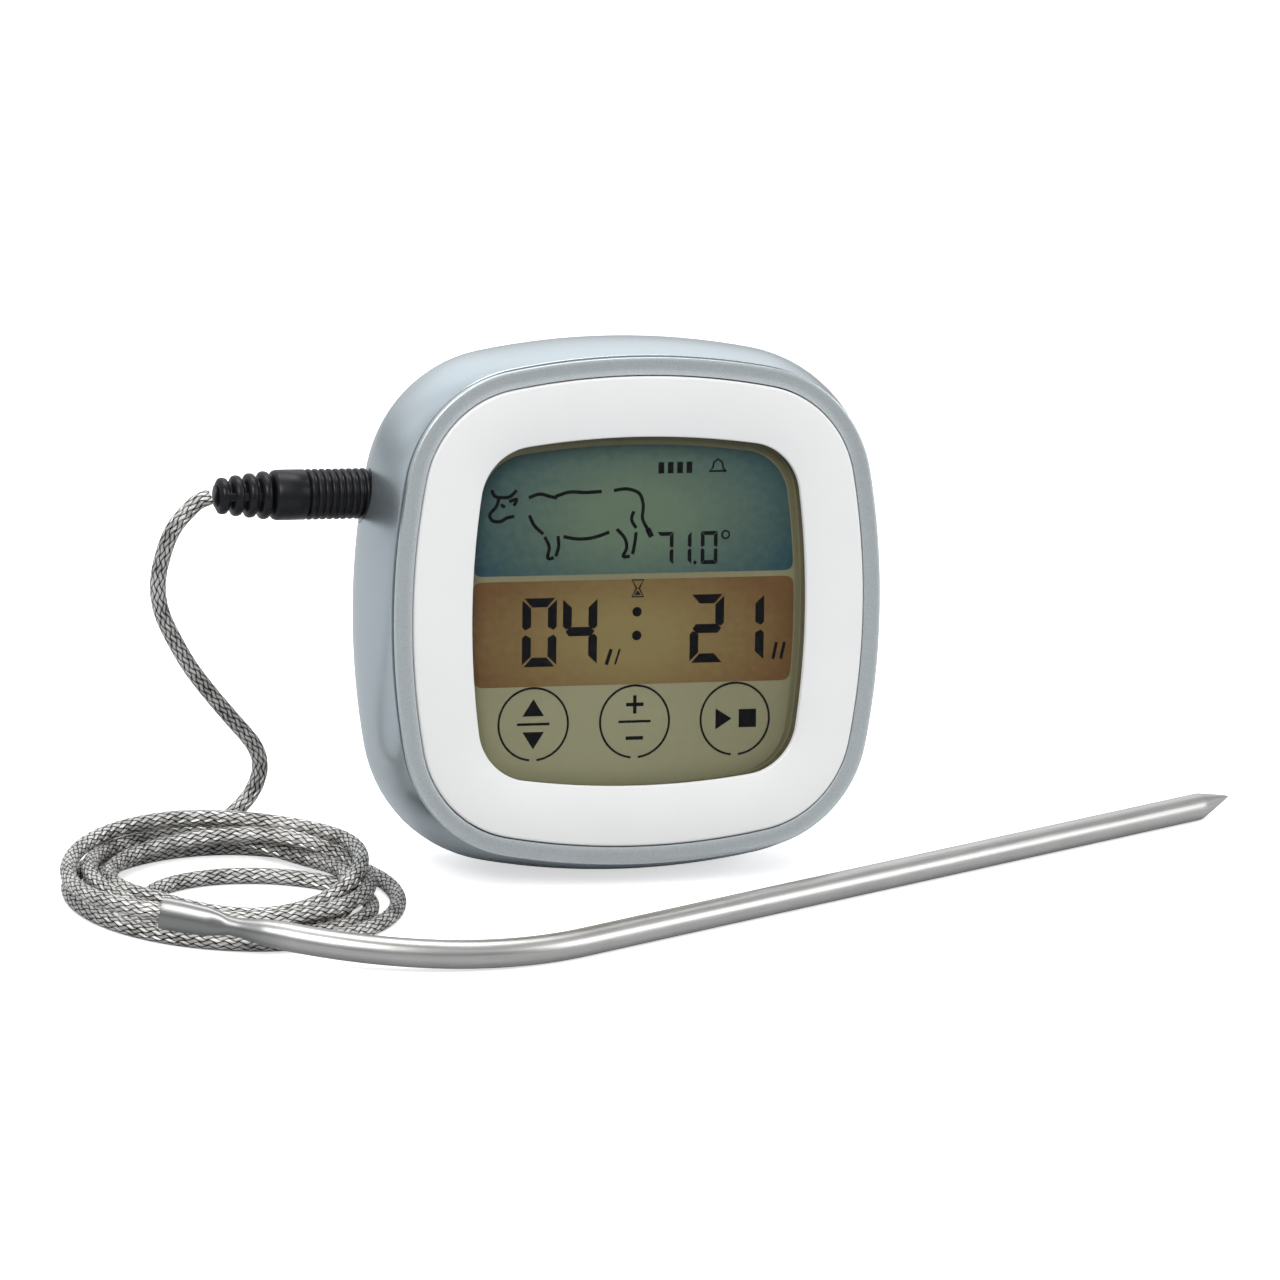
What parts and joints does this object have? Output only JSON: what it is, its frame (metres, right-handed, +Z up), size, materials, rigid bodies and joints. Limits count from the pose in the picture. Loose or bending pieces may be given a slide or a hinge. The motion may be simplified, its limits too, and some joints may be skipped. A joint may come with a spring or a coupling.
{
  "type": "probe thermometer",
  "caption": "Square touch-screen meat thermometer that leans back on a fold-out stand, with a bent steel probe on a braided cord plugged into its side.",
  "frame": {"origin": "middle of the small flat moulded under the housing, where it rests on the table", "axes": "+Z up; the display faces -Y and leans back 10 degrees; +X to the right seen from the front, so the probe plugs in on the -X side"},
  "size_m": [0.1848, 0.0686, 0.0756],
  "materials": {
    "white_plastic": "satin moulded white plastic",
    "touch_lens": "clear polished acrylic",
    "bezel_metallic": "grey metallic lacquer with fine flake, on plastic",
    "shell_silver": "smooth blue-grey silver lacquer on plastic",
    "lcd": "display glass with teal, amber and olive zones",
    "diffuser": "milky diffuser",
    "dark_plastic": "moulded black plastic",
    "black_rubber": "satin black soft plastic",
    "circuit_board": "green solder mask",
    "epoxy": "glossy black epoxy",
    "nickel_plate": "bright nickel plate",
    "cell_jacket": "printed foil jacket, plain blue",
    "plug_brass": "gold-coloured contact plate",
    "braided_steel": "braided stainless wire",
    "probe_steel": "ground and brushed stainless tube",
    "lead_sleeve": "white insulation"
  },
  "bodies": {
    "housing": {"front_cover": "white_plastic", "touch_lens": "touch_lens", "touch_film": "touch_lens", "bezel_ring": "bezel_metallic", "rear_shell": "shell_silver", "lcd_glass": "lcd", "light_guide": "diffuser", "lcd_frame": "dark_plastic", "buzzer": "dark_plastic", "probe_jack": "dark_plastic", "switch_body": "dark_plastic", "zebra_strip": "black_rubber", "main_board": "circuit_board", "controller_blob": "epoxy", "clock_crystal": "nickel_plate", "contact_bridge": "nickel_plate", "contact_plus": "nickel_plate", "contact_minus": "nickel_plate", "contact_spring_1": "nickel_plate", "contact_spring_2": "nickel_plate", "stand_pin": "nickel_plate", "magnet_left": "nickel_plate", "magnet_right": "nickel_plate", "case_screw_1": "nickel_plate", "case_screw_2": "nickel_plate", "case_screw_3": "nickel_plate", "case_screw_4": "nickel_plate", "battery_cell_1": "cell_jacket", "battery_cell_2": "cell_jacket"},
    "stand": {"stand": "shell_silver"},
    "battery_door": {"battery_door": "shell_silver"},
    "power_switch": {"switch_knob": "dark_plastic"},
    "probe_lead": {"plug_sleeve": "black_rubber", "strain_relief": "black_rubber", "plug_ferrule": "plug_brass", "plug_insulator": "black_rubber", "plug_tip": "plug_brass", "cord": "braided_steel", "cord_coil": "braided_steel", "probe_tube": "probe_steel", "probe_bead": "epoxy", "sensor_lead": "lead_sleeve"}
  },
  "joints": [
    {"name": "stand_fold", "type": "hinge", "parent": "housing", "child": "stand", "pos_m": [0, 0.01044, 0.03529], "axis": [-1, 0, 0], "range_deg": [0, 24.3]},
    {"name": "battery_door_open", "type": "hinge", "parent": "housing", "child": "battery_door", "pos_m": [0, 0.01739, 0.06088], "axis": [1, 0, 0], "range_deg": [0, 90]},
    {"name": "power_switch_slide", "type": "slide", "parent": "housing", "child": "power_switch", "axis": [-1, 0, 0], "range_m": [0, 0.003]},
    {"name": "plug_pull", "type": "slide", "parent": "housing", "child": "probe_lead", "axis": [-1, 0, 0], "range_m": [0, 0.012]}
  ]
}
